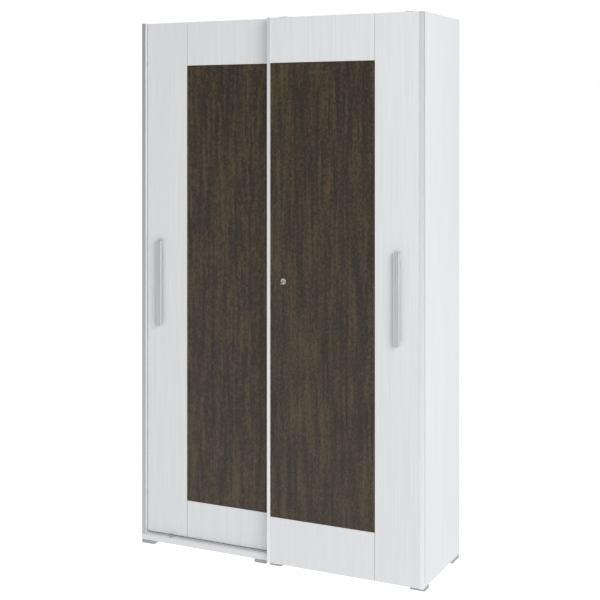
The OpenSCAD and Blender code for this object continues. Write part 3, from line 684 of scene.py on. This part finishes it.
@dataclass
class Studio:
    """Floor, light and camera.

    The camera's place is given from the left side's outer face and from the front door's face.
    """

    camera_place: tuple[float, float, float] = (2.690, -4.101, 1.665)
    camera_turn_deg: float = 25.74
    lens_mm: float = 73.0
    shift_y: float = -0.288
    clip_end: float = 100.0
    floor_half: float = 11.0
    floor_colour: str = "f7f7f7"
    floor_glow: float = 1.28
    floor_glow_share: float = 0.75
    backdrop_strength: float = 1.0
    sky_low: float = 0.46
    sky_high: float = 0.2
    lamp_place: tuple[float, float, float] = (4.1, -2.7, 3.1)
    lamp_aim: tuple[float, float, float] = (0.0, -0.2, 1.0)
    lamp_size: float = 3.2
    lamp_watts: float = 125.0

    def build(self) -> None:
        """Sets the camera, the light and the floor."""
        self.set_camera()
        self.set_light()
        self.lay_floor()

    def set_camera(self) -> None:
        """Stands a level camera in front and to the right; the shift keeps uprights upright."""
        camera = bpy.data.cameras.new("camera")
        camera.lens = self.lens_mm
        camera.shift_y = self.shift_y
        camera.clip_end = self.clip_end
        holder = bpy.data.objects.new("camera", camera)
        left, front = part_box("left_side")[0][0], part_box("front_left_profile")[0][1]
        holder.location = Vector((left, front, 0.0)) + Vector(self.camera_place)
        holder.rotation_euler = (math.pi / 2, 0.0, math.radians(self.camera_turn_deg))
        bpy.context.scene.collection.objects.link(holder)
        bpy.context.scene.camera = holder

    def set_light(self) -> None:
        """Lights the piece from a bright room and one wide lamp, high on the right."""
        world = bpy.data.worlds.new("studio")
        world.use_nodes = True
        bpy.context.scene.world = world
        tree = world.node_tree
        tree.nodes.clear()
        path = add_node(tree, "LightPath")
        way = add_node(tree, "TexCoord")
        split = add_node(tree, "SeparateXYZ", {0: way.outputs["Generated"]})
        height = add_node(tree, "Math", {0: split.outputs["Z"]}, operation="ABSOLUTE")
        sky = add_node(tree, "MapRange", {0: height.outputs[0], 3: self.sky_low,
                                          4: self.sky_high})
        room = add_node(tree, "Background", {"Strength": sky.outputs[0]})
        backdrop = add_node(tree, "Background", {"Strength": self.backdrop_strength})
        for shader in (room, backdrop):
            shader.inputs["Color"].default_value = WHITE
        mix = add_node(tree, "MixShader", {0: path.outputs["Is Camera Ray"],
                                           1: room.outputs[0], 2: backdrop.outputs[0]})
        add_node(tree, "OutputWorld", {"Surface": mix.outputs[0]})
        lamp = bpy.data.lights.new("key_light", "AREA")
        lamp.shape = "DISK"
        lamp.size = self.lamp_size
        lamp.energy = self.lamp_watts
        holder = bpy.data.objects.new("key_light", lamp)
        holder.location = self.lamp_place
        back = Vector(self.lamp_place) - Vector(self.lamp_aim)
        holder.rotation_euler = back.to_track_quat("Z", "Y").to_euler()
        bpy.context.scene.collection.objects.link(holder)
        bpy.context.scene.view_settings.view_transform = "Standard"

    def lay_floor(self) -> None:
        """Lays a pale floor that glows a little, so that only a soft shadow shows on it."""
        shape = bmesh.new()
        bmesh.ops.create_grid(shape, x_segments=1, y_segments=1, size=self.floor_half)
        mesh = bpy.data.meshes.new("floor")
        shape.to_mesh(mesh)
        shape.free()
        floor = bpy.data.objects.new("floor", mesh)
        bpy.context.scene.collection.objects.link(floor)
        paper = bpy.data.materials.new("pale_floor")
        paper.use_nodes = True
        tree = paper.node_tree
        tree.nodes.clear()
        matt = add_node(tree, "BsdfDiffuse", {"Color": srgb(self.floor_colour)})
        glow = add_node(tree, "Emission", {"Strength": self.floor_glow})
        mix = add_node(tree, "MixShader", {0: self.floor_glow_share, 1: matt.outputs[0],
                                           2: glow.outputs[0]})
        add_node(tree, "OutputMaterial", {"Surface": mix.outputs[0]})
        mesh.materials.append(paper)


def main() -> None:
    """Builds the studio and then each sub-assembly in order."""
    logging.basicConfig(level=logging.INFO, format="%(name)s: %(message)s")
    Studio().build()
    shop = Workshop()
    shop.open()
    Carcass(shop).build()
    Interior(shop).build()
    Door(shop, Leaf.REAR).build()
    Door(shop, Leaf.FRONT).build()
    Lock(shop).build()


if __name__ == "__main__":
    main()
